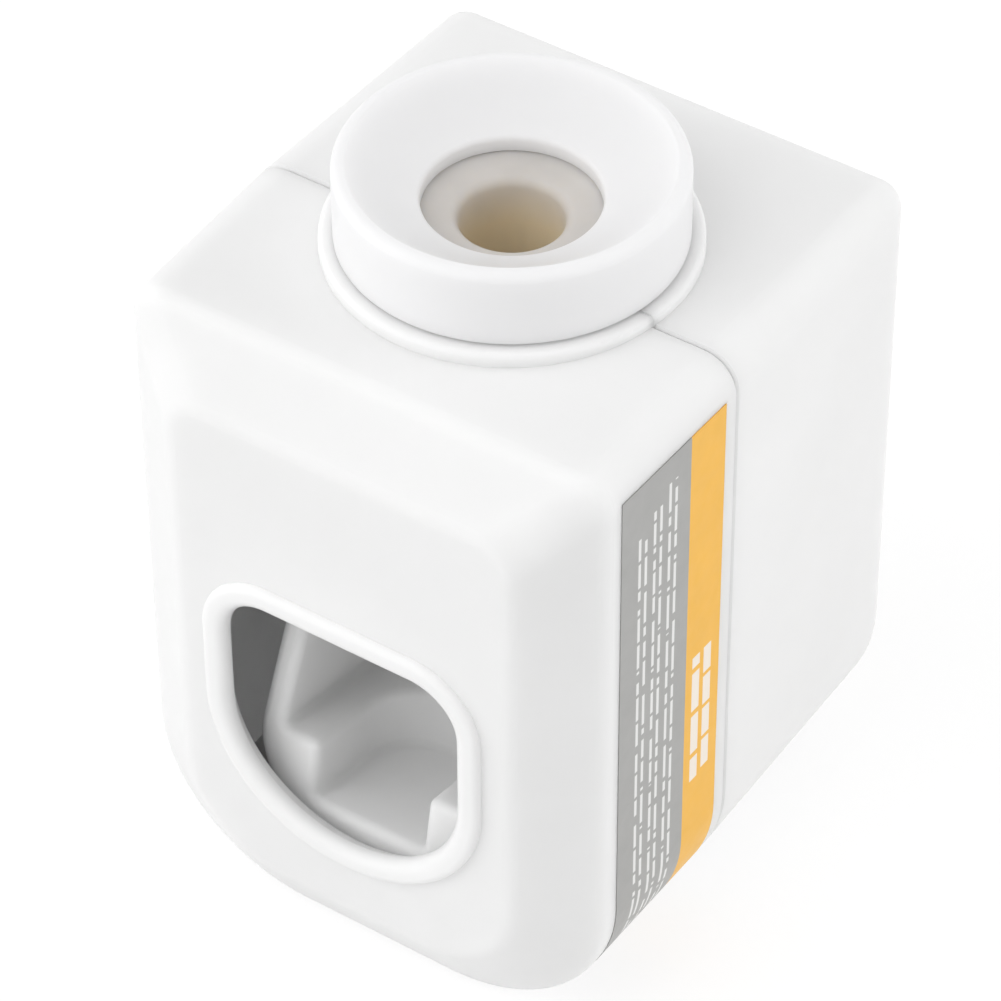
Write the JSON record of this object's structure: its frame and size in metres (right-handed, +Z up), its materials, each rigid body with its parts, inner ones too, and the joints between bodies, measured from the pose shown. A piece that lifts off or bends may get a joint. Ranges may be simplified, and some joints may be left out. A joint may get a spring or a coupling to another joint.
{
  "type": "toothpaste dispenser",
  "caption": "White moulded push dispenser for toothpaste: tube socket ring on top, rimmed D-shaped window with a swinging brush cradle, squeeze pump inside.",
  "frame": {"origin": "middle of the outer box at the base it stands on", "axes": "+Z up, -Y out of the brush window, +X to the label side"},
  "size_m": [0.065, 0.071, 0.1002],
  "materials": {
    "cover_plastic": "satin moulded white",
    "rear_plastic": "satin moulded white",
    "ring_plastic": "smooth gloss white",
    "lever_plastic": "satin moulded white-grey",
    "label_film": "printed grey and amber film",
    "seal_silicone": "translucent beige silicone",
    "valve_plastic": "moulded",
    "flap_silicone": "translucent silicone",
    "bulb_silicone": "translucent beige silicone",
    "spout_plastic": "moulded",
    "clamp_plastic": "moulded",
    "outlet_silicone": "translucent silicone",
    "frame_plastic": "moulded",
    "frame_screw_steel": "zinc plated",
    "cover_screw_steel": "zinc plated",
    "pin_steel": "ground",
    "clip_steel": "spring steel",
    "spring_left_steel": "spring wire",
    "spring_right_steel": "spring wire"
  },
  "bodies": {
    "housing": {"front_cover": "cover_plastic", "rear_cover": "rear_plastic", "side_label": "label_film", "tube_seal": "seal_silicone", "inlet_valve_plate": "valve_plastic", "inlet_flap": "flap_silicone", "pump_bulb": "bulb_silicone", "outlet_spout": "spout_plastic", "bulb_clamp": "clamp_plastic", "outlet_valve": "outlet_silicone", "pump_frame": "frame_plastic", "frame_screws": "frame_screw_steel", "cover_screws": "cover_screw_steel", "pivot_pin": "pin_steel", "pin_clips": "clip_steel", "return_spring_left": "spring_left_steel", "return_spring_right": "spring_right_steel"},
    "lever": {"brush_lever": "lever_plastic"},
    "ring": {"top_ring": "ring_plastic"}
  },
  "joints": [
    {"name": "lever_swing", "type": "hinge", "parent": "housing", "child": "lever", "pos_m": [0, -0.015, 0.074], "axis": [1, 0, 0], "range_deg": [0, 18], "stiffness_Nm_per_rad": 0.15, "springref_deg": -20.05, "deforming": ["pump_bulb", "return_spring_left", "return_spring_right"]},
    {"name": "ring_lift", "type": "slide", "parent": "housing", "child": "ring", "axis": [0, 0, 1], "range_m": [0, 0.03]}
  ]
}
